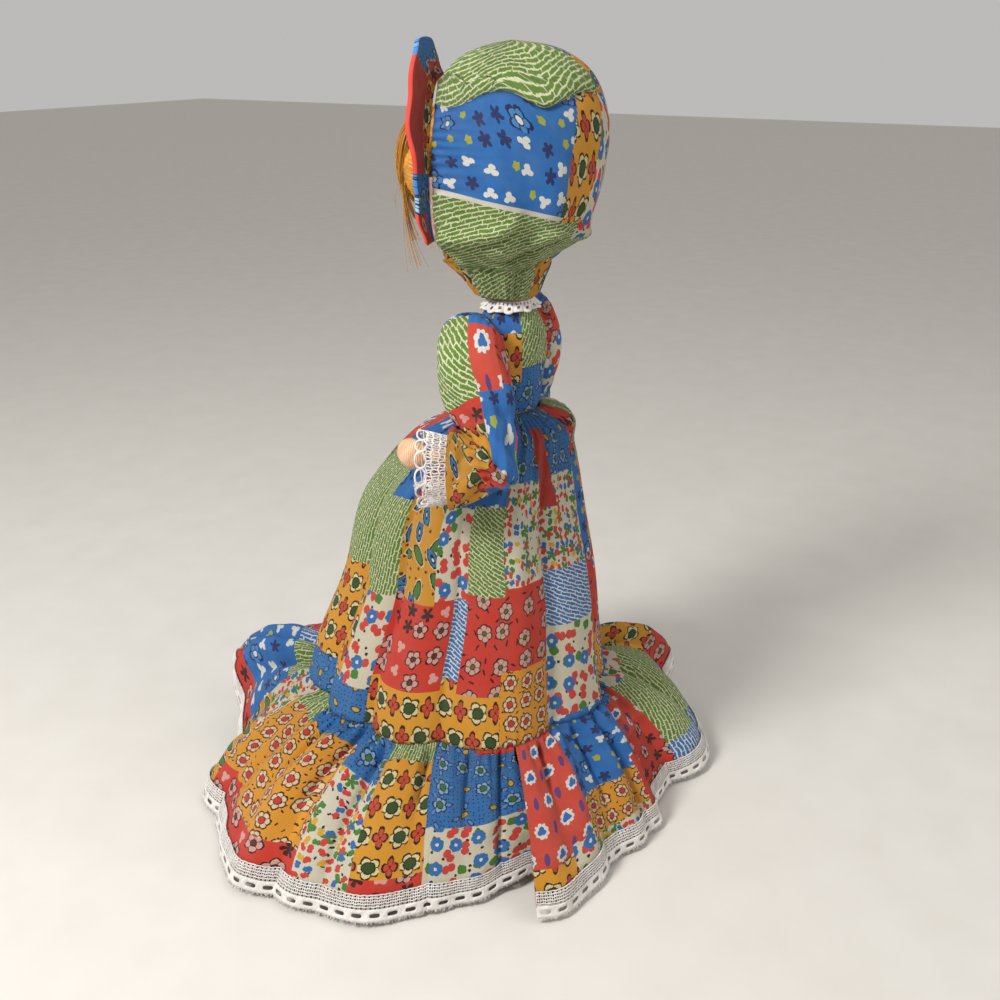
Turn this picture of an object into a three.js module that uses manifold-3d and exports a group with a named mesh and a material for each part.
// A cloth doll in a gathered patchwork dress and bonnet. Millimetres, +Z up, and the doll faces -Y.
import * as THREE from 'three';
import { mergeVertices } from 'three/addons/utils/BufferGeometryUtils.js';
import Module from 'manifold-3d';

const wasm = await Module();
wasm.setup();

const { PI, abs, cos, exp, hypot, max, min, sin, sqrt } = Math;
const vector = (x, y, z) => new THREE.Vector3(x, y, z);

// Fits and cloth
const seamGap = 0.4; // between pieces that are sewn or seated together
const clothThickness = 1.2; // cotton with its turned edges
const laceThickness = 0.8;

// Heights, from the floor up
const seamHeight = 48; // where the flounce is sewn to the skirt
const hipHeight = 146;
const hipToWaist = 26;
const waistToShoulder = 30;
const shoulderToNeckline = 9;
const neckLength = 18; // neckline of the bodice to the chin
const headHeight = 56; // chin to the top of the head
const waistHeight = hipHeight + hipToWaist;
const shoulderHeight = waistHeight + waistToShoulder;
const neckHeight = shoulderHeight + shoulderToNeckline;
const chinHeight = neckHeight + neckLength;

// Torso, half widths across the body at each level
const torsoDepthShare = 0.72; // depth front to back for a width of 1
const hipHalfWidth = 16.5;
const waistHalfWidth = 12.5;
const chestHalfWidth = 15;
const neckRadius = 7;
const postRadius = 2.5;
const wireRadius = 1.1;
const seatAboveHip = 5; // from the hip wire up to the flat underside of the torso
const postAboveWire = 3; // the neck post ends this far over the shoulder wire
const postInHead = 16; // how far the post goes up into the head
const wireInArm = 9; // how far the shoulder wire goes into each arm

// Head and bonnet
const headTurn = THREE.MathUtils.degToRad(22); // the doll looks towards its left
const headHalfWidth = 25;
const headHalfDepth = 24;
const headForward = 5; // the head sits this far in front of the neck
const noseHeight = 2.2;
const hairThickness = 3.9;
const curlRadius = 5.6;
const bonnetOpening = 23; // the face opening lies this far in front of the neck
const bonnetEase = 3.1; // room between the hair and the puffed crown
const bonnetHeadroom = 11.1; // room over the hair
const bonnetUnderChin = 14.5;
const bonnetPuff = headHalfWidth + hairThickness + bonnetEase;
const bonnetTop = chinHeight + headHeight + hairThickness + bonnetHeadroom;
const bonnetBottom = chinHeight - bonnetUnderChin;
const brimRise = 11.5; // width of the brim above the forehead
const brimReach = 5.5; // how far the brim stands forward over the forehead
const brimThickness = 2;

// Arms: one bent limb each, given for the doll's left side
const armRadius = 4.2;
const wristRadius = 3;
const armholeGap = 0.8; // between the bodice and the sleeve
const armholeRadius = 8.2;
const armholeEdge = 1.6; // of the bodice in front of the arm
const elbowFromSkirt = 10.5; // from the upper skirt out to the elbow
const elbowBack = 21.5; // behind the shoulder
const elbowDrop = 33.5; // below the shoulder
const forearmOut = 6.5; // from the elbow to the wrist
const forearmForward = 19.5;
const forearmDrop = 2.5;
const handLength = 12;
const handHalfHeight = 5.6;
const handHalfThickness = 3.4;
const sleevePuff = 12.9;
const sleeveElbow = 10.5; // radius at the elbow
const cuffHalfHeight = 15;
const cuffEase = 6; // between the wrist and the open cuff
const cuffTaper = 0.9; // how much lower the sleeve is behind the cuff
const cuffHalfWidth = wristRadius + cuffEase;
const cuffDrop = 5; // the open cuff hangs this far below the wrist
const cuffLaceWidth = 13;
const rightArmRaise = THREE.MathUtils.degToRad(45); // the right arm is held further forward

// Legs and shoes
const legSpacing = 11; // from the middle of the body
const thighRadius = 8;
const ankleRadius = 4.2;
const shoeLength = 27;
const shoeHalfWidth = 6;
const shoeHeight = 11;
const soleToLeg = 3;

// Skirt, flounce and lace
const skirtHalfWidth = 66; // front to back, at the flounce seam
const skirtSideShare = 0.91; // the skirt is narrower from side to side
const skirtForward = 26; // the skirt spreads to the front of the body
const skirtFolds = 10;
const skirtFoldDepth = 7;
const flounceLength = 68;
const flounceFlare = 50; // how far the crest of a wave stands out from the seam
const slitAngle = 50; // degrees, where the two ends of the flounce meet, behind the left arm
const slitWidth = 0.35; // degrees, half of the opening
const slitLean = THREE.MathUtils.degToRad(13); // the cloth beside the slit hangs towards the front
const slitReach = 18; // degrees round the hem that lean with it
// The hem from one end of the flounce to the other: degrees from the slit, and the shares of the flare
// by which the hem stands out and lifts
const hemLine = [
  [0, 0.86, 0],
  [6, 0.9, 0],
  [13, 0.8, 0],
  [23, 0.68, 0],
  [33, 0.63, 0],
  [42, 0.6, 0],
  [51, 0.54, 0],
  [60, 0.74, 0],
  [68, 0.94, 0.02],
  [77, 0.98, 0.06],
  [86, 0.88, 0.24],
  [96, 1, 0.44],
  [106, 0.8, 0.16],
  [116, 0.68, 0],
  [128, 0.88, 0.02],
  [140, 1, 0.08],
  [152, 0.84, 0.02],
  [165, 1, 0.14],
  [180, 0.8, 0],
  [197, 1, 0.1],
  [212, 0.8, 0.08],
  [224, 0.86, 0.34],
  [236, 0.98, 0.6],
  [247, 0.76, 0.26],
  [256, 0.72, 0.04],
  [266, 1, 0],
  [276, 1.04, 0],
  [284, 1.02, 0],
  [292, 1.12, 0],
  [299, 1.18, 0],
  [306, 1.1, 0],
  [313, 1, 0],
  [322, 0.94, 0],
  [331, 0.86, 0],
  [340, 0.7, 0],
  [348, 0.57, 0],
  [355, 0.48, 0.03],
  [360, 0.44, 0.05],
];
const hemLaceWidth = 13;
const hemLaceOverlap = 6; // how much of the lace lies on the flounce
const hemClearance = 0.6; // the lowest lace over the floor, on which the shoes stand

// Where the arm's joints lie; the sleeves begin at the armhole, at this distance from the middle
const upperSkirtShare = 0.5; // of the skirt's half width, below the gathers of the waist
const armhole = chestHalfWidth + seamGap + clothThickness + armholeGap;
const shoulderForward = chestHalfWidth * torsoDepthShare - armRadius - armholeEdge;
const elbow = vector(
  skirtHalfWidth * skirtSideShare * upperSkirtShare + elbowFromSkirt,
  elbowBack - shoulderForward,
  shoulderHeight - elbowDrop,
);
const wrist = elbow.clone().add(vector(forearmOut, -forearmForward, -forearmDrop));

// Facets
const aroundSkirt = 72;
const aroundFlounce = 99;
const aroundSleeve = 16;
const aroundLimb = 12;
const aroundHead = 22;

function mix(a, b, t) {
  return a + (b - a) * t;
}

function smooth(t) {
  const s = min(1, max(0, t));
  return s * s * (3 - 2 * s);
}

// A value that follows a smooth line through [position, value] pairs
function along(pairs, position) {
  const last = pairs.length - 1;
  const rising = pairs[last][0] > pairs[0][0];
  const ordered = rising ? pairs : [...pairs].reverse();
  if (position <= ordered[0][0]) return ordered[0][1];
  if (position >= ordered[last][0]) return ordered[last][1];
  const i = ordered.findIndex(([p]) => p > position) - 1;
  const slope = (k) => {
    const before = ordered[max(0, k - 1)];
    const after = ordered[min(last, k + 1)];
    return (after[1] - before[1]) / (after[0] - before[0]);
  };
  const [p0, v0] = ordered[i];
  const [p1, v1] = ordered[i + 1];
  const step = p1 - p0;
  const t = (position - p0) / step;
  const tt = t * t;
  const ttt = tt * t;
  return (2 * ttt - 3 * tt + 1) * v0 + (ttt - 2 * tt + t) * step * slope(i)
    + (3 * tt - 2 * ttt) * v1 + (ttt - tt) * step * slope(i + 1);
}

// Closed meshes

// One closed mesh with shared vertices, no empty faces, and its faces pointing out
function closedMesh(points, index) {
  let volume = 0;
  for (let i = 0; i < index.length; i += 3) {
    const [a, b, c] = [points[index[i]], points[index[i + 1]], points[index[i + 2]]];
    volume += a.dot(b.clone().cross(c)) / 6;
  }
  const geometry = new THREE.BufferGeometry().setFromPoints(points);
  const turned = [];
  for (let i = 0; i < index.length; i += 3) {
    const face = [index[i], index[i + 1], index[i + 2]];
    if (new Set(face).size === 3) turned.push(...(volume < 0 ? face.reverse() : face));
  }
  return geometry.setIndex(turned);
}

// A three.js geometry with its shared vertices merged
function merged(geometry) {
  const bare = geometry.clone();
  bare.deleteAttribute('normal');
  bare.deleteAttribute('uv');
  const joined = mergeVertices(bare, 1e-3);
  const position = joined.getAttribute('position');
  const points = Array.from({ length: position.count }, (_, i) => vector().fromBufferAttribute(position, i));
  return closedMesh(points, Array.from(joined.index.array));
}

// A limb or other round form: a skin over rings of points, closed at both ends
function loft(rings) {
  const sides = rings[0].length;
  const points = rings.flat();
  const index = [];
  for (let r = 0; r < rings.length - 1; r++) {
    for (let s = 0; s < sides; s++) {
      const a = r * sides + s;
      const b = r * sides + (s + 1) % sides;
      index.push(a, b, b + sides, a, b + sides, a + sides);
    }
  }
  const middleOf = (ring) => ring.reduce((sum, p) => sum.add(p), vector(0, 0, 0)).divideScalar(sides);
  const first = points.push(middleOf(rings[0])) - 1;
  const end = points.push(middleOf(rings.at(-1))) - 1;
  const lastRing = (rings.length - 1) * sides;
  for (let s = 0; s < sides; s++) {
    const next = (s + 1) % sides;
    index.push(first, next, s, end, lastRing + s, lastRing + next);
  }
  return closedMesh(points, index);
}

// A piece of cloth with a thickness, from outer and inner grids of points in rows
function sheet(outer, inner, wraps) {
  const rows = outer.length;
  const columns = outer[0].length;
  const points = [...outer.flat(), ...inner.flat()];
  const under = rows * columns;
  const index = [];
  const at = (row, column) => row * columns + column % columns;
  const quad = (a, b, c, d) => index.push(a, b, c, a, c, d);
  const spans = wraps ? columns : columns - 1;
  for (let c = 0; c < spans; c++) {
    for (let r = 0; r < rows - 1; r++) {
      const corners = [at(r, c), at(r, c + 1), at(r + 1, c + 1), at(r + 1, c)];
      quad(corners[0], corners[3], corners[2], corners[1]);
      quad(...corners.map((p) => p + under));
    }
    quad(at(0, c), at(0, c + 1), at(0, c + 1) + under, at(0, c) + under);
    quad(at(rows - 1, c + 1), at(rows - 1, c), at(rows - 1, c) + under, at(rows - 1, c + 1) + under);
  }
  for (let r = 0; r < rows - 1 && !wraps; r++) {
    const end = columns - 1;
    quad(at(r, 0), at(r, 0) + under, at(r + 1, 0) + under, at(r + 1, 0));
    quad(at(r + 1, end), at(r + 1, end) + under, at(r, end) + under, at(r, end));
  }
  return closedMesh(points, index);
}

// A grid moved along its own normals; positive goes to the left of its rows and columns, into the cloth
function offsetGrid(grid, distance, wraps) {
  const rows = grid.length;
  const columns = grid[0].length;
  const pick = (r, c) => {
    const column = wraps ? (c + columns) % columns : min(columns - 1, max(0, c));
    return grid[min(rows - 1, max(0, r))][column];
  };
  return grid.map((row, r) => row.map((p, c) => {
    const across = pick(r, c + 1).clone().sub(pick(r, c - 1));
    const down = pick(r + 1, c).clone().sub(pick(r - 1, c));
    return p.clone().addScaledVector(across.cross(down).normalize(), distance);
  }));
}

function grid(rows, columns, pointAt) {
  return Array.from({ length: rows }, (_, r) => Array.from({ length: columns }, (_, c) => pointAt(r, c)));
}

// A ring of points round a centre, square to a direction; side gives which way its first axis lies
function ring(centre, direction, side, halfWidth, halfHeight, count) {
  const first = side.clone().addScaledVector(direction, -side.dot(direction)).normalize();
  const second = direction.clone().cross(first).normalize();
  return Array.from({ length: count }, (_, i) => {
    const angle = 2 * PI * i / count;
    return centre.clone().addScaledVector(first, halfWidth * cos(angle))
      .addScaledVector(second, halfHeight * sin(angle));
  });
}

// A limb along a curve, with round ends
function limb(curve, radiusAt, steps, side) {
  const capSteps = 3;
  const capRings = (t, sign) => Array.from({ length: capSteps }, (_, k) => {
    const angle = PI / 2 * (k + 0.35) / capSteps;
    const direction = curve.getTangentAt(t);
    const centre = curve.getPointAt(t).addScaledVector(direction, sign * radiusAt(t) * cos(angle));
    const radius = radiusAt(t) * sin(angle);
    return ring(centre, direction, side, radius, radius, aroundLimb);
  });
  const shaft = Array.from({ length: steps + 1 }, (_, i) => {
    const t = i / steps;
    return ring(curve.getPointAt(t), curve.getTangentAt(t), side, radiusAt(t), radiusAt(t), aroundLimb);
  });
  return loft([...capRings(0, -1), ...shaft, ...capRings(1, 1).reverse()]);
}

function mirrored(geometry) {
  return merged(geometry.clone().scale(-1, 1, 1));
}

function solidOf(geometry) {
  const vertProperties = new Float32Array(geometry.getAttribute('position').array);
  const triVerts = new Uint32Array(geometry.index.array);
  return new wasm.Manifold(new wasm.Mesh({ numProp: 3, vertProperties, triVerts }));
}

function geometryOf(solid) {
  const mesh = solid.getMesh();
  const points = new THREE.BufferAttribute(new Float32Array(mesh.vertProperties), 3);
  const faces = new THREE.BufferAttribute(new Uint32Array(mesh.triVerts), 1);
  return new THREE.BufferGeometry().setAttribute('position', points).setIndex(faces);
}

function cut(body, ...tools) {
  return geometryOf(tools.reduce((solid, tool) => solid.subtract(solidOf(tool)), solidOf(body)));
}

function join(...bodies) {
  return geometryOf(bodies.map(solidOf).reduce((whole, body) => whole.add(body)));
}

// A round bar along X, and a box between two corners
function barAlongX(from, to, y, z, radius, sides = 16) {
  const bar = new THREE.CylinderGeometry(radius, radius, to - from, sides);
  return merged(bar.rotateZ(PI / 2).translate((from + to) / 2, y, z));
}

function boxBetween(low, high) {
  const size = high.clone().sub(low);
  const middle = high.clone().add(low).multiplyScalar(0.5);
  return merged(new THREE.BoxGeometry(size.x, size.y, size.z).translate(middle.x, middle.y, middle.z));
}

function barAlongZ(from, to, radius, sides = 20) {
  return merged(new THREE.CylinderGeometry(radius, radius, to - from, sides).rotateX(PI / 2)
    .translate(0, 0, (from + to) / 2));
}

// Materials
function finish(color, roughness, metalness = 0) {
  return new THREE.MeshStandardMaterial({ color, roughness, metalness });
}

const patchwork = finish('#c98a2b', 0.9);
const bonnetCloth = finish('#3d6fb3', 0.9);
const brimCloth = finish('#c4392c', 0.9);
const lace = finish('#e9e4da', 0.85);
const muslin = finish('#e3d3b8', 0.9);
const skin = finish('#dfb08f', 0.7);
const hairFloss = finish('#c58a3a', 0.45);
const felt = finish('#3a2a22', 0.95);
const wood = finish('#c9a373', 0.6);
const steel = finish('#8a8d90', 0.35, 1);

const doll = new THREE.Group();

function piece(name, geometry, material, group = doll) {
  const mesh = new THREE.Mesh(geometry, material);
  mesh.name = name;
  group.add(mesh);
  return mesh;
}

// Torso: a stuffed body with a tongue between the legs, bored for the neck post and the two wires
const torsoBase = hipHeight + seatAboveHip;
const torsoProfile = [
  [torsoBase, hipHalfWidth - 2],
  [torsoBase + 6, hipHalfWidth],
  [torsoBase + 13, hipHalfWidth - 1],
  [waistHeight, waistHalfWidth],
  [mix(waistHeight, shoulderHeight, 0.6), chestHalfWidth],
  [shoulderHeight, chestHalfWidth - 0.6],
  [neckHeight - 3, mix(chestHalfWidth, neckRadius, 0.5)],
  [neckHeight, neckRadius + 0.6],
];

// A form round the torso, grown by the same amount in width and depth
function torsoForm(from, to, grow, levels) {
  const rings = Array.from({ length: levels + 1 }, (_, i) => {
    const z = mix(from, to, i / levels);
    const halfWidth = along(torsoProfile, z);
    return ring(vector(0, 0, z), vector(0, 0, 1), vector(1, 0, 0),
      halfWidth + grow, halfWidth * torsoDepthShare + grow, 24);
  });
  return loft(rings);
}

const postBottom = shoulderHeight + postAboveWire;
const postTop = chinHeight + postInHead;
const wireReach = armhole + wireInArm;
const hipWireReach = legSpacing + thighRadius * 0.7;
const hipPocket = thighRadius + 1;
const crotchHalfWidth = legSpacing - thighRadius - seamGap;
const crotch = limb(
  new THREE.LineCurve3(vector(0, 0, hipHeight - 4), vector(0, 0, hipHeight + 10)),
  () => hipHalfWidth * torsoDepthShare - 4, 3, vector(1, 0, 0),
);
const crotchSlab = boxBetween(
  vector(-crotchHalfWidth, -hipHalfWidth, hipHeight - hipHalfWidth),
  vector(crotchHalfWidth, hipHalfWidth, hipHeight + hipHalfWidth),
);
const tongue = geometryOf(solidOf(crotch).intersect(solidOf(crotchSlab)));
const hipPockets = [-1, 1].map((side) => barAlongX(
  min(side * (crotchHalfWidth + 0.3), side * 2 * hipHalfWidth),
  max(side * (crotchHalfWidth + 0.3), side * 2 * hipHalfWidth), 0, hipHeight, hipPocket, 24,
));
const torso = cut(
  join(cut(torsoForm(torsoBase, neckHeight, 0, 9), ...hipPockets), tongue),
  barAlongZ(postBottom - seamGap, neckHeight + 5, postRadius + seamGap / 2),
  barAlongX(-armhole - 5, armhole + 5, -shoulderForward, shoulderHeight, wireRadius + seamGap / 2),
  barAlongX(-hipHalfWidth * 2, hipHalfWidth * 2, 0, hipHeight, wireRadius + seamGap / 2),
);
piece('torso', torso, muslin);
piece('neck_post', barAlongZ(postBottom, postTop, postRadius), wood);
const shoulderWire = barAlongX(-wireReach, wireReach, -shoulderForward, shoulderHeight, wireRadius, 10);
piece('shoulder_wire', shoulderWire, steel);
piece('hip_wire', barAlongX(-hipWireReach, hipWireReach, 0, hipHeight, wireRadius, 10), steel);

// Neck: a short stuffed column round the post, between the torso and the head
const neckRings = [0, 0.5, 1].map((t) => {
  const radius = mix(neckRadius + 0.4, neckRadius - 0.6, t);
  const z = mix(neckHeight + seamGap, chinHeight - seamGap, t);
  return ring(vector(0, 0, z), vector(0, 0, 1), vector(1, 0, 0), radius, radius, 20);
});
const neckBore = barAlongZ(neckHeight - 5, chinHeight + 5, postRadius + seamGap / 2);
piece('neck', cut(loft(neckRings), neckBore), skin);

// Head, hair and bonnet turn together on the neck post
const headGroup = new THREE.Group();
headGroup.rotation.z = headTurn;
doll.add(headGroup);

const headMiddle = vector(0, -headForward, chinHeight + headHeight / 2 - 1);
const headHalfHeight = headHeight / 2 + 1;

// The head, narrower towards the chin, grown by an amount and with or without its nose
function headForm(grow, nose) {
  const form = new THREE.SphereGeometry(1, aroundHead, 14).rotateX(PI / 2);
  const position = form.getAttribute('position');
  for (let i = 0; i < position.count; i++) {
    const unit = vector().fromBufferAttribute(position, i);
    const narrowing = 1 - 0.24 * smooth(-unit.z) * abs(unit.z);
    const point = vector(
      unit.x * headHalfWidth * narrowing,
      unit.y * headHalfDepth * mix(1, narrowing, unit.y > 0 ? 1 : 0.5),
      unit.z * headHalfHeight,
    );
    point.addScaledVector(unit, grow);
    const bridge = exp(-((point.x / 3.4) ** 2) - (((point.z + 5) / 4.5) ** 2));
    point.y -= unit.y < 0 ? nose * bridge : 0;
    point.add(headMiddle);
    position.setXYZ(i, point.x, point.y, point.z);
  }
  return merged(form);
}

const farOut = 2 * skirtHalfWidth;
const underChin = boxBetween(vector(-farOut, -farOut, 0), vector(farOut, farOut, chinHeight));
const postHole = barAlongZ(0, postTop + seamGap, postRadius + seamGap / 2);
piece('head', cut(headForm(0, noseHeight), underChin, postHole), skin, headGroup);

// Curls at the temples: full in the middle and drawn to a point, lying against the head before the brim
const curlTurn = THREE.MathUtils.degToRad(38); // away from the middle of the face
// Levels on the head, from -1 at the chin to 1 at the top, with the curl's fullness there
const curlSizes = [
  [0.62, 0.3],
  [0.5, 0.62],
  [0.34, 0.94],
  [0.16, 1],
  [-0.04, 0.86],
  [-0.24, 0.56],
  [-0.44, 0.22],
];

function curlForm(grow) {
  return loft(curlSizes.map(([level, size], i) => {
    const end = i === 0 ? 1 : i === curlSizes.length - 1 ? -1 : 0;
    const shrink = sqrt(1 - level ** 2);
    const out = curlRadius * size + seamGap + 0.4;
    const centre = vector(
      sin(curlTurn) * (headHalfWidth * shrink + out),
      headMiddle.y - cos(curlTurn) * (headHalfDepth * shrink + out),
      headMiddle.z + headHalfHeight * level + end * grow,
    );
    const radius = curlRadius * size + grow;
    return ring(centre, vector(0, 0, 1), vector(1, 0, 0), radius, radius, 10);
  }));
}

piece('left_curl', curlForm(0), hairFloss, headGroup);
piece('right_curl', mirrored(curlForm(0)), hairFloss, headGroup);

// Hair: a wig of floss over the crown of the head, open over the face
const hairline = headMiddle.z + headHalfHeight * 0.5;
const faceWindow = new THREE.SphereGeometry(1, 20, 12).rotateX(PI / 2);
faceWindow.scale(headHalfWidth * 0.84, headHalfDepth * 1.3, headHalfHeight * 1.04);
faceWindow.translate(0, headMiddle.y - headHalfDepth * 0.75, hairline - headHalfHeight * 1.04);
const underHair = boxBetween(vector(-farOut, -farOut, 0), vector(farOut, farOut, chinHeight + 9));
const hair = cut(
  headForm(hairThickness, 0),
  headForm(seamGap, 0),
  merged(faceWindow),
  underHair,
  curlForm(seamGap),
  mirrored(curlForm(seamGap)),
);
piece('hair', hair, hairFloss, headGroup);

// Crown of the bonnet: how far it stands from the neck at each height
// Shares of the bonnet's height with its reach to the sides, behind and in front
const crownSides = [
  [0, neckRadius + 5],
  [0.08, neckRadius + 8],
  [0.17, bonnetPuff * 0.6],
  [0.25, bonnetPuff * 0.84],
  [0.37, bonnetPuff * 0.96],
  [0.55, bonnetPuff],
  [0.74, bonnetPuff * 0.97],
  [0.88, bonnetPuff * 0.82],
  [0.96, bonnetPuff * 0.6],
  [1, bonnetPuff * 0.2],
];
const crownBack = [
  [0, neckRadius + 3],
  [0.08, neckRadius + 5.5],
  [0.17, bonnetPuff * 0.5],
  [0.25, bonnetPuff * 0.78],
  [0.37, bonnetPuff * 0.95],
  [0.55, bonnetPuff * 1.04],
  [0.74, bonnetPuff * 1.03],
  [0.88, bonnetPuff * 0.86],
  [0.96, bonnetPuff * 0.56],
  [1, bonnetPuff * 0.2],
];
const crownFront = [
  [0, neckRadius + 6],
  [0.08, bonnetOpening - 5.5],
  [0.17, bonnetOpening + 3],
  [0.25, bonnetOpening + 10],
  [0.37, bonnetOpening + 17],
  [0.55, bonnetOpening + 20],
  [0.74, bonnetOpening + 8],
  [0.82, bonnetOpening + 4],
  [0.9, bonnetOpening - 2],
  [0.96, bonnetOpening * 0.6],
  [1, bonnetOpening * 0.12],
];
const crownGathers = 10;
const crownLevels = [0, 0.08, 0.15, 0.22, 0.31, 0.43, 0.58, 0.72, 0.83, 0.91, 0.965, 1];

// A form under the crown's surface, at a depth into the cloth
function crownForm(depth) {
  const rings = crownLevels.map((level) => {
    const z = mix(bonnetBottom, bonnetTop - depth, level) - (level === 0 ? depth : 0);
    const gather = 0.05 * (1 - smooth((level - 0.1) * 1.6));
    return Array.from({ length: 3 * crownGathers }, (_, k) => {
      const angle = 2 * PI * k / (3 * crownGathers);
      const waved = 1 + gather * cos(crownGathers * angle);
      const reach = sin(angle) > 0 ? along(crownBack, level) : along(crownFront, level);
      return vector(
        cos(angle) * (along(crownSides, level) * waved - depth),
        sin(angle) * (reach * waved - depth),
        z,
      );
    });
  });
  return loft(rings);
}

const strapHeight = 9; // of the crown's edge that closes under the chin
const faceOpening = boxBetween(
  vector(-farOut, -farOut, bonnetBottom + strapHeight),
  vector(farOut, -bonnetOpening, bonnetTop + farOut),
);
const crownShell = cut(crownForm(0), crownForm(clothThickness), faceOpening);
piece('bonnet_crown', crownShell, bonnetCloth, headGroup);

// Brim: a stiff horseshoe round the face opening, widest over the forehead
const faceMiddle = mix(bonnetBottom, bonnetTop, 0.5);
const brimEnd = THREE.MathUtils.degToRad(138);

// The distance from the middle of the face to the edge of the crown's opening
function openingRadius(angle) {
  let near = 0;
  let far = bonnetPuff * 1.5;
  for (let i = 0; i < 40; i++) {
    const middle = (near + far) / 2;
    const level = (faceMiddle + middle * cos(angle) - bonnetBottom) / (bonnetTop - bonnetBottom);
    const aside = middle * sin(angle) / along(crownSides, level);
    const inside = level < 0.98 && aside ** 2 + (bonnetOpening / along(crownFront, level)) ** 2 < 1;
    if (inside) near = middle;
    else far = middle;
  }
  return near;
}

const brimColumns = 30;
const brimRows = 4;
const brimOuter = grid(brimRows, brimColumns, (r, c) => {
  const angle = mix(-brimEnd, brimEnd, c / (brimColumns - 1));
  const share = r / (brimRows - 1);
  const width = mix(brimRise * 0.16, brimRise, smooth(1 - abs(angle) / brimEnd) ** 0.8);
  const radius = openingRadius(angle) + width * share ** 1.3;
  const standing = mix(0.55, 1, smooth(1.4 - 2 * abs(angle) / brimEnd));
  const forward = bonnetOpening + seamGap + brimThickness * 0.2 + brimReach * standing * share ** 0.8;
  return vector(radius * sin(angle), -forward, faceMiddle + radius * cos(angle));
});
const brimInner = brimOuter.map((row, r) => row.map((p, c) => {
  const angle = mix(-brimEnd, brimEnd, c / (brimColumns - 1));
  const tilt = mix(0.5, 0.85, r / (brimRows - 1));
  return p.clone().add(vector(-sin(angle) * (1 - tilt), -tilt, -cos(angle) * (1 - tilt))
    .normalize().multiplyScalar(brimThickness));
}));
piece('bonnet_brim', sheet(brimOuter, brimInner, false), brimCloth, headGroup);

// Bodice: fitted over the torso, with a neckline and two armholes
const bodiceBottom = waistHeight + seamGap;
const bodiceTop = neckHeight - 1.2;
const bodice = cut(
  torsoForm(bodiceBottom, bodiceTop, seamGap + clothThickness, 7),
  torsoForm(bodiceBottom - 5, neckHeight, seamGap, 8),
  barAlongX(-armhole * 2, armhole * 2, -shoulderForward, shoulderHeight, armRadius + 1.4, 18),
);
piece('bodice', bodice, patchwork);

// Neck lace: a scalloped edging that stands on the neckline
const scallops = 12;
const neckLaceOuter = grid(2, scallops * 4, (r, c) => {
  const angle = 2 * PI * c / (scallops * 4);
  const scallop = r === 0 ? 0 : 1.3 * abs(sin(scallops * angle / 2)) - 0.4;
  const reach = mix(neckRadius + 1.8, neckRadius + 5.5, r) + scallop;
  const height = mix(neckHeight + 2.4, neckHeight + 0.4, r);
  return vector(reach * cos(angle), reach * sin(angle) * mix(0.92, 0.82, r), height);
});
const laceDepth = vector(0, 0, -laceThickness);
const neckLaceInner = neckLaceOuter.map((row) => row.map((p) => p.clone().add(laceDepth)));
piece('neck_lace', sheet(neckLaceOuter, neckLaceInner, true), lace);

// Skirt: half depth, and how far its middle lies in front of the body, at each height
const skirtDrop = waistHeight - seamHeight;
const waistSideShare = (waistHalfWidth + seamGap + clothThickness)
  / (waistHalfWidth * torsoDepthShare + seamGap + clothThickness);
const skirtHalfDepth = [
  [waistHeight, waistHalfWidth * torsoDepthShare + seamGap + clothThickness],
  [waistHeight - skirtDrop * 0.045, skirtHalfWidth * 0.35],
  [waistHeight - skirtDrop * 0.13, skirtHalfWidth * upperSkirtShare],
  [waistHeight - skirtDrop * 0.31, skirtHalfWidth * 0.68],
  [waistHeight - skirtDrop * 0.58, skirtHalfWidth * 0.8],
  [waistHeight - skirtDrop * 0.85, skirtHalfWidth * 0.94],
  [seamHeight, skirtHalfWidth],
];
const skirtMiddle = [
  [waistHeight, 0],
  [waistHeight - skirtDrop * 0.045, skirtForward * 0.06],
  [waistHeight - skirtDrop * 0.13, skirtForward * 0.35],
  [waistHeight - skirtDrop * 0.31, skirtForward * 0.66],
  [waistHeight - skirtDrop * 0.58, skirtForward * 0.73],
  [waistHeight - skirtDrop * 0.85, skirtForward * 0.95],
  [seamHeight, skirtForward],
];

// Rounded folds with sharp valleys between them, from 0 in a valley to 1 on a crest
function foldAt(angle, count) {
  const uneven = angle - 0.24 + 0.1 * cos(2 * angle - 0.84) + 0.05 * sin(3 * angle + 0.3);
  return abs(cos(count * uneven / 2)) ** 0.75;
}

// The outside of the skirt at an angle round the body and a height
function skirtPoint(angle, z) {
  const share = (waistHeight - z) / skirtDrop;
  const halfDepth = along(skirtHalfDepth, z);
  const sideShare = mix(waistSideShare, skirtSideShare, smooth(share * 7));
  const depth = skirtFoldDepth * smooth(share * 2.2 + 0.06);
  const reach = halfDepth - depth * (1 - foldAt(angle, skirtFolds));
  return vector(
    reach * sideShare * cos(angle),
    reach * sin(angle) - along(skirtMiddle, z),
    z,
  );
}

const skirtLevels = [0, 0.03, 0.09, 0.22, 0.42, 0.64, 0.84, 1];
const skirtOuter = grid(skirtLevels.length, aroundSkirt, (r, c) => {
  return skirtPoint(2 * PI * c / aroundSkirt, waistHeight - skirtDrop * skirtLevels[r]);
});
piece('skirt', sheet(skirtOuter, offsetGrid(skirtOuter, clothThickness, true), true), patchwork);

// Flounce: it falls to the floor, and the waves that stand out furthest lift off it
const flounceTotal = flounceLength + hemLaceWidth - hemLaceOverlap;
const hemSpread = hemLine.map(([turn, spread]) => [turn, spread * flounceFlare]);
const hemLift = hemLine.map(([turn, , lift]) => [turn, lift * flounceFlare]);
const deepestDrop = seamHeight - seamGap - hemClearance;

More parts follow.
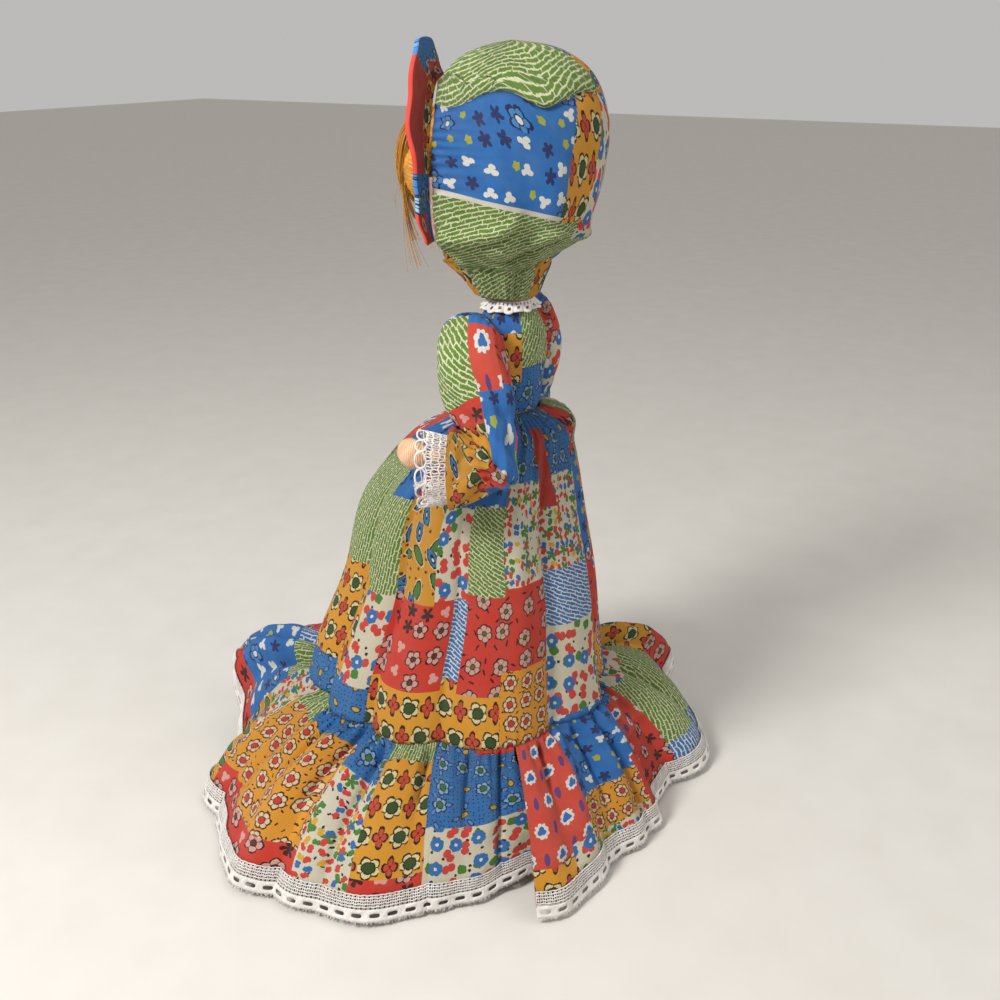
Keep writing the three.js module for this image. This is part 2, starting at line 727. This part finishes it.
// The outside of the flounce at a turn from the slit, at a distance down the cloth from its seam
function flouncePoint(turn, distance) {
  const share = distance / flounceTotal;
  const start = skirtPoint(THREE.MathUtils.degToRad(slitAngle + turn), seamHeight);
  const spread = min(flounceTotal * 0.92, along(hemSpread, turn));
  const lift = along(hemLift, turn);
  const drop = min(deepestDrop, sqrt(flounceTotal ** 2 - spread ** 2)) - lift;
  const fullness = 0.16 + (0.45 * spread + 0.75 * lift) / flounceFlare;
  const bulge = min(0.95, max(0.3, fullness));
  const out = spread * mix(share, sin(PI / 2 * share), bulge);
  const reach = hypot(start.x, start.y + skirtForward);
  const lean = slitLean * exp(-((min(turn, 360 - turn) / slitReach) ** 2));
  const outward = vector(start.x / reach, (start.y + skirtForward) / reach, 0)
    .applyAxisAngle(vector(0, 0, 1), -lean);
  const point = start.clone().addScaledVector(outward, out);
  point.z = start.z - seamGap - drop * mix(share, 1 - cos(PI / 2 * share), bulge)
    + lift * 0.26 * sin(PI * share);
  return point;
}

function flounceGrid(distances) {
  return grid(distances.length, aroundFlounce, (r, c) => {
    return flouncePoint(mix(slitWidth, 360 - slitWidth, c / (aroundFlounce - 1)), distances[r]);
  });
}

const flounceRows = [0, 0.14, 0.34, 0.58, 0.8, 1].map((t) => t * flounceLength);
const flounceOuter = flounceGrid(flounceRows);
piece('flounce', sheet(flounceOuter, offsetGrid(flounceOuter, clothThickness, false), false), patchwork);

const laceTop = flounceLength - hemLaceOverlap;
const laceLine = flounceGrid([laceTop, flounceLength, flounceTotal]);
const hemLace = sheet(
  offsetGrid(laceLine, -seamGap - laceThickness, false),
  offsetGrid(laceLine, -seamGap, false),
  false,
);
piece('hem_lace', hemLace, lace);

// Arms, hands, sleeves and cuffs, each side turning on its own end of the shoulder wire
const shoulder = vector(armhole + armRadius + 2.6, -shoulderForward, shoulderHeight);
const handDirection = wrist.clone().sub(elbow).normalize().add(vector(0, 0, 0.08)).normalize();
const palmStart = wrist.clone().addScaledVector(handDirection, wristRadius + seamGap);
const palmSizes = [[0, 0.45], [0.08, 0.62], [0.3, 0.9], [0.55, 1], [0.8, 0.8], [0.94, 0.48], [1, 0.2]];
const hand = loft(palmSizes.map(([t, size]) => ring(
  palmStart.clone().addScaledVector(handDirection, handLength * t).add(vector(-2.2 * t * t, 0, 0)),
  handDirection, vector(0, 0, 1), handHalfHeight * size, handHalfThickness * (0.35 + 0.65 * size), 14,
)));

// Sleeve: puffed below the armhole, bent at the elbow and open at the wrist
const cuffMiddle = wrist.clone().add(vector(-0.5, 5, -cuffDrop));
const downArm = elbow.clone().sub(shoulder).normalize();
const alongForearm = cuffMiddle.clone().sub(elbow).normalize();
const outOfCuff = alongForearm.clone().setZ(0).normalize();
const across = vector(1, 0, 0);
const awayFromBody = alongForearm.clone().cross(downArm);
const sleeveStations = [
  [vector(armhole, -shoulderForward, shoulderHeight), across, armholeRadius, armholeRadius],
  [vector(armhole + 3.6, 0.5 - shoulderForward, shoulderHeight - 1), across.clone().lerp(downArm, 0.5),
    sleevePuff * 0.88, sleevePuff * 0.84],
  [shoulder.clone().lerp(elbow, 0.28), downArm, sleevePuff, sleevePuff * 0.92],
  [shoulder.clone().lerp(elbow, 0.58), downArm, sleevePuff * 0.93, sleevePuff * 0.85],
  [shoulder.clone().lerp(elbow, 0.8), downArm.clone().lerp(alongForearm, 0.15),
    sleeveElbow * 0.84, sleeveElbow * 0.9],
  [elbow.clone().add(vector(0.8, 1, -3)), downArm.clone().lerp(alongForearm, 0.72),
    sleeveElbow, sleeveElbow * 0.88],
  [elbow.clone().lerp(cuffMiddle, 0.4), alongForearm.clone().lerp(downArm, 0.15),
    mix(sleeveElbow, cuffHalfHeight, 0.4), mix(sleeveElbow * 0.88, cuffHalfWidth, 0.4)],
  [elbow.clone().lerp(cuffMiddle, 0.72), alongForearm.clone().lerp(outOfCuff, 0.6),
    cuffHalfHeight - cuffTaper, cuffHalfWidth],
  [cuffMiddle, outOfCuff, cuffHalfHeight, cuffHalfWidth],
];
// The arm follows the middle of its sleeve and rises to the wrist, at the top of the open cuff
const armCurve = new THREE.CatmullRomCurve3([
  shoulder,
  sleeveStations[3][0],
  sleeveStations[4][0],
  sleeveStations[5][0],
  sleeveStations[6][0].clone().add(vector(0, 0, cuffDrop * 0.3)),
  wrist,
]);
const arm = cut(
  limb(armCurve, (t) => mix(armRadius, wristRadius, t), 9, vector(1, 0.2, 0.1)),
  barAlongX(0, wireReach + seamGap, -shoulderForward, shoulderHeight, wireRadius + seamGap / 2, 12),
);

const sleeveOuter = sleeveStations.map(([centre, direction, height, width], r) => {
  const side = awayFromBody.clone().lerp(outOfCuff.clone().cross(vector(0, 0, -1)), smooth((r - 4) / 4));
  const points = ring(centre, direction.clone().normalize(), side, width, height, aroundSleeve);
  for (const point of points) point.x = max(point.x, armhole + 0.25 * r);
  return points;
});
const sleeve = sheet(sleeveOuter, offsetGrid(sleeveOuter, -clothThickness, true), true);

// Cuff lace: sewn inside the sleeve's open end and standing out of it
const cuffInset = clothThickness + seamGap + cuffHalfHeight / 15;
const cuffRows = [-0.11, 0.1, 0.85].map((share) => ring(
  cuffMiddle.clone().addScaledVector(outOfCuff, share * cuffLaceWidth), outOfCuff, vector(0, 0, 1),
  cuffHalfHeight - cuffInset + 2 * max(0, share), cuffHalfWidth - cuffInset + 2 * max(0, share), aroundSleeve,
));
const cuffLace = sheet(cuffRows, offsetGrid(cuffRows, -laceThickness, true), true);

// Legs and shoes, on the ends of the hip wire
const legTop = vector(legSpacing, 0, hipHeight);
const legBottom = vector(legSpacing - 0.5, 0, soleToLeg + ankleRadius);
const legSizes = [
  [0, thighRadius],
  [0.3, thighRadius * 0.86],
  [0.52, thighRadius * 0.68],
  [0.66, thighRadius * 0.74],
  [1, ankleRadius],
];
const legCurve = new THREE.LineCurve3(legTop, legBottom);
const legForm = (grow) => limb(legCurve, (t) => along(legSizes, t) + grow, 7, vector(1, 0, 0));
const leg = cut(
  legForm(0),
  barAlongX(0, hipWireReach + seamGap, 0, hipHeight, wireRadius + seamGap / 2, 12),
);
const toeShare = 0.66; // of the shoe's length in front of the leg
// Shares of the shoe's height, half width and length
const shoeLevels = [
  [0, 0.94, 1],
  [0.12, 1, 1.02],
  [0.4, 1, 1],
  [0.68, 0.86, 0.84],
  [0.86, 0.66, 0.6],
  [1, 0.42, 0.36],
];
const shoeForm = loft(shoeLevels.map(([level, width, length]) => {
  const frontReach = shoeLength * toeShare * length;
  const backReach = shoeLength * (1 - toeShare) * mix(1, length, 0.4);
  return Array.from({ length: 18 }, (_, k) => {
    const angle = 2 * PI * k / 18;
    const reach = sin(angle) < 0 ? frontReach : backReach;
    return vector(legBottom.x + shoeHalfWidth * width * cos(angle), reach * sin(angle), shoeHeight * level);
  });
}));
const shoe = cut(shoeForm, legForm(seamGap));

// The right arm is the mirror image, swung forward on the shoulder wire
function rightArm(geometry) {
  return mirrored(geometry).translate(0, shoulderForward, -shoulderHeight).rotateX(-rightArmRaise)
    .translate(0, -shoulderForward, shoulderHeight);
}

for (const [side, place, placeArm] of [['left', (g) => g, (g) => g], ['right', mirrored, rightArm]]) {
  piece(`${side}_arm`, placeArm(arm), skin);
  piece(`${side}_hand`, placeArm(hand), skin);
  piece(`${side}_sleeve`, placeArm(sleeve), patchwork);
  piece(`${side}_cuff_lace`, placeArm(cuffLace), lace);
  piece(`${side}_leg`, place(leg), muslin);
  piece(`${side}_shoe`, place(shoe), felt);
}

// The origin lies on the floor, in the middle of the doll's outline
const outline = new THREE.Box3().setFromObject(doll);
const middle = outline.getCenter(vector());
doll.position.set(-middle.x, -middle.y, -outline.min.z);
const part = new THREE.Group();
part.add(doll);

export default part;
